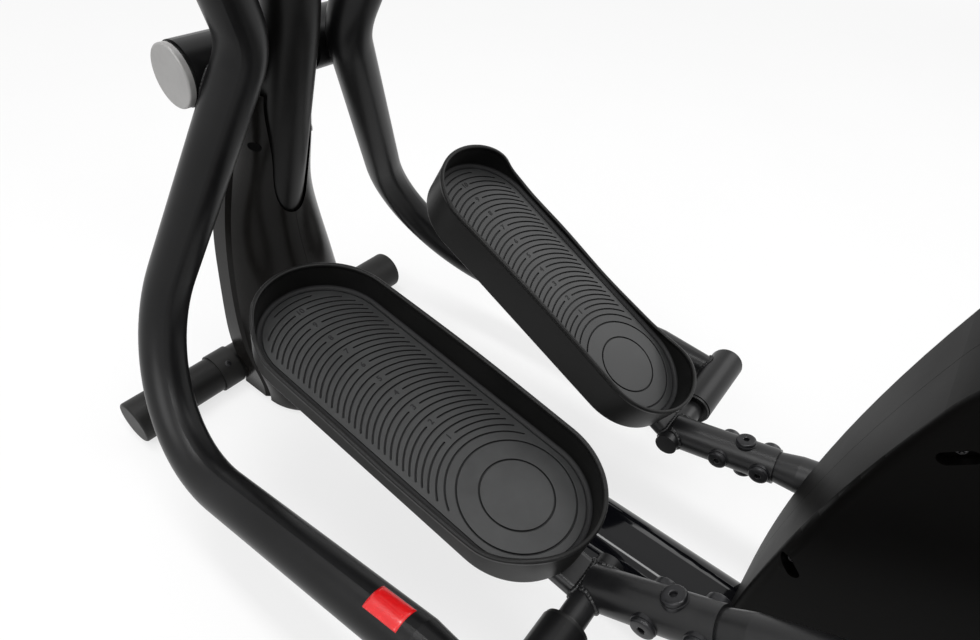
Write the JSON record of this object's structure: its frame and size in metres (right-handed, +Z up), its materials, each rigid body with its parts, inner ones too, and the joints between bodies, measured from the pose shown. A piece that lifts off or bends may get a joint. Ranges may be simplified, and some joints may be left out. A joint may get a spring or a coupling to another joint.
{
  "type": "elliptical trainer",
  "caption": "Free-standing elliptical trainer: rear crank housing, swinging arms with handlebars and long tray pedals on bent links, mast with console.",
  "frame": {"origin": "on the floor, midway between the two stabilizers", "axes": "+X forward to the console, +Y to the rider's left, +Z up"},
  "size_m": [1.3001, 0.56, 1.4482],
  "materials": {
    "satin_black": "satin powder coat",
    "gloss_black": "gloss paint",
    "black_plastic": "satin moulded plastic",
    "pedal_plastic": "fine grain",
    "mat_rubber": "matt",
    "grip_foam": "closed-cell foam",
    "bush_plastic": "moulded",
    "cap_silver": "silver grey",
    "steel": "turned",
    "cast_flywheel": "turned rim",
    "belt_rubber": "ribbed",
    "screen_glass": "display window",
    "button_rubber": "soft",
    "pulse_chrome": "polished",
    "pulley_plastic": "moulded"
  },
  "bodies": {
    "frame": {"main_rail": "gloss_black", "front_stabilizer": "satin_black", "rear_stabilizer": "satin_black", "front_end_caps": "black_plastic", "rear_end_caps": "black_plastic", "stabilizer_collars": "black_plastic", "mast": "satin_black", "shroud_left": "black_plastic", "shroud_right": "black_plastic", "pivot_axle": "steel", "pivot_spacers": "bush_plastic", "pivot_caps": "cap_silver", "drive_frame": "satin_black", "housing_left": "black_plastic", "housing_right": "black_plastic", "crank_bearings": "steel", "drive_belt": "belt_rubber", "flywheel_axle": "steel", "brake_pin": "steel", "fixed_handlebar": "satin_black", "handlebar_clamp": "black_plastic", "pulse_grips": "pulse_chrome", "knob_plate": "black_plastic", "console_bracket": "black_plastic", "console_housing": "black_plastic", "console_screen": "screen_glass"},
    "crank": {"crank_axle": "steel", "crank_arm_left": "satin_black", "crank_arm_right": "satin_black", "crank_pulley": "pulley_plastic"},
    "flywheel": {"flywheel": "cast_flywheel"},
    "brake": {"brake_shoe": "satin_black", "brake_magnets": "steel"},
    "knob": {"tension_knob": "black_plastic"},
    "left_arm": {"left_swing_arm": "satin_black", "left_arm_bushes": "bush_plastic", "left_moving_handle": "satin_black", "left_handle_grip": "grip_foam"},
    "left_link": {"left_link_front": "satin_black", "left_link_rear": "satin_black", "left_link_bolts": "satin_black", "left_crank_pin": "steel", "left_pedal_tray": "pedal_plastic", "left_pedal_mat": "mat_rubber"},
    "right_arm": {"right_swing_arm": "satin_black", "right_arm_bushes": "bush_plastic", "right_moving_handle": "satin_black", "right_handle_grip": "grip_foam"},
    "right_link": {"right_link_front": "satin_black", "right_link_rear": "satin_black", "right_link_bolts": "satin_black", "right_crank_pin": "steel", "right_pedal_tray": "pedal_plastic", "right_pedal_mat": "mat_rubber"},
    "button_1": {"console_button_1": "button_rubber"},
    "button_2": {"console_button_2": "button_rubber"},
    "button_3": {"console_button_3": "button_rubber"}
  },
  "joints": [
    {"name": "crank_spin", "type": "hinge", "parent": "frame", "child": "crank", "pos_m": [-0.364, 0, 0.347], "axis": [0, 1, 0], "continuous": true},
    {"name": "flywheel_spin", "type": "hinge", "parent": "frame", "child": "flywheel", "pos_m": [-0.21, 0, 0.3], "axis": [0, 1, 0], "continuous": true},
    {"name": "left_swing", "type": "hinge", "parent": "frame", "child": "left_arm", "pos_m": [0.536, 0, 0.472], "axis": [0, -1, 0], "range_deg": [-7, 13]},
    {"name": "right_swing", "type": "hinge", "parent": "frame", "child": "right_arm", "pos_m": [0.536, 0, 0.472], "axis": [0, -1, 0], "range_deg": [-13, 7]},
    {"name": "left_heel", "type": "hinge", "parent": "left_arm", "child": "left_link", "pos_m": [0.01101, 0, 0.20508], "axis": [0, -1, 0], "range_deg": [-13, 7]},
    {"name": "right_heel", "type": "hinge", "parent": "right_arm", "child": "right_link", "pos_m": [0.04186, 0, 0.15155], "axis": [0, -1, 0], "range_deg": [-7, 13]},
    {"name": "knob_turn", "type": "hinge", "parent": "frame", "child": "knob", "pos_m": [0.47203, 0, 0.8], "axis": [-0.9986, 0, -0.0523], "range_deg": [0, 270]},
    {"name": "brake_lift", "type": "hinge", "parent": "frame", "child": "brake", "pos_m": [-0.12734, 0, 0.3856], "axis": [0, 1, 0], "range_deg": [0, 6]},
    {"name": "button_1_press", "type": "slide", "parent": "frame", "child": "button_1", "axis": [0.7431, 0, -0.6691], "range_m": [0, 0.002], "stiffness_N_per_m": 200},
    {"name": "button_2_press", "type": "slide", "parent": "frame", "child": "button_2", "axis": [0.7431, 0, -0.6691], "range_m": [0, 0.002], "stiffness_N_per_m": 200},
    {"name": "button_3_press", "type": "slide", "parent": "frame", "child": "button_3", "axis": [0.7431, 0, -0.6691], "range_m": [0, 0.002], "stiffness_N_per_m": 200}
  ],
  "couplings": [
    {"joint": "flywheel_spin", "follows": "crank_spin", "ratio": 4.5455},
    {"joint": "right_swing", "follows": "left_swing", "ratio": -1},
    {"joint": "left_heel", "follows": "left_swing", "ratio": -1},
    {"joint": "right_heel", "follows": "left_swing", "ratio": 1},
    {"joint": "brake_lift", "follows": "knob_turn", "ratio": 0.022222}
  ]
}
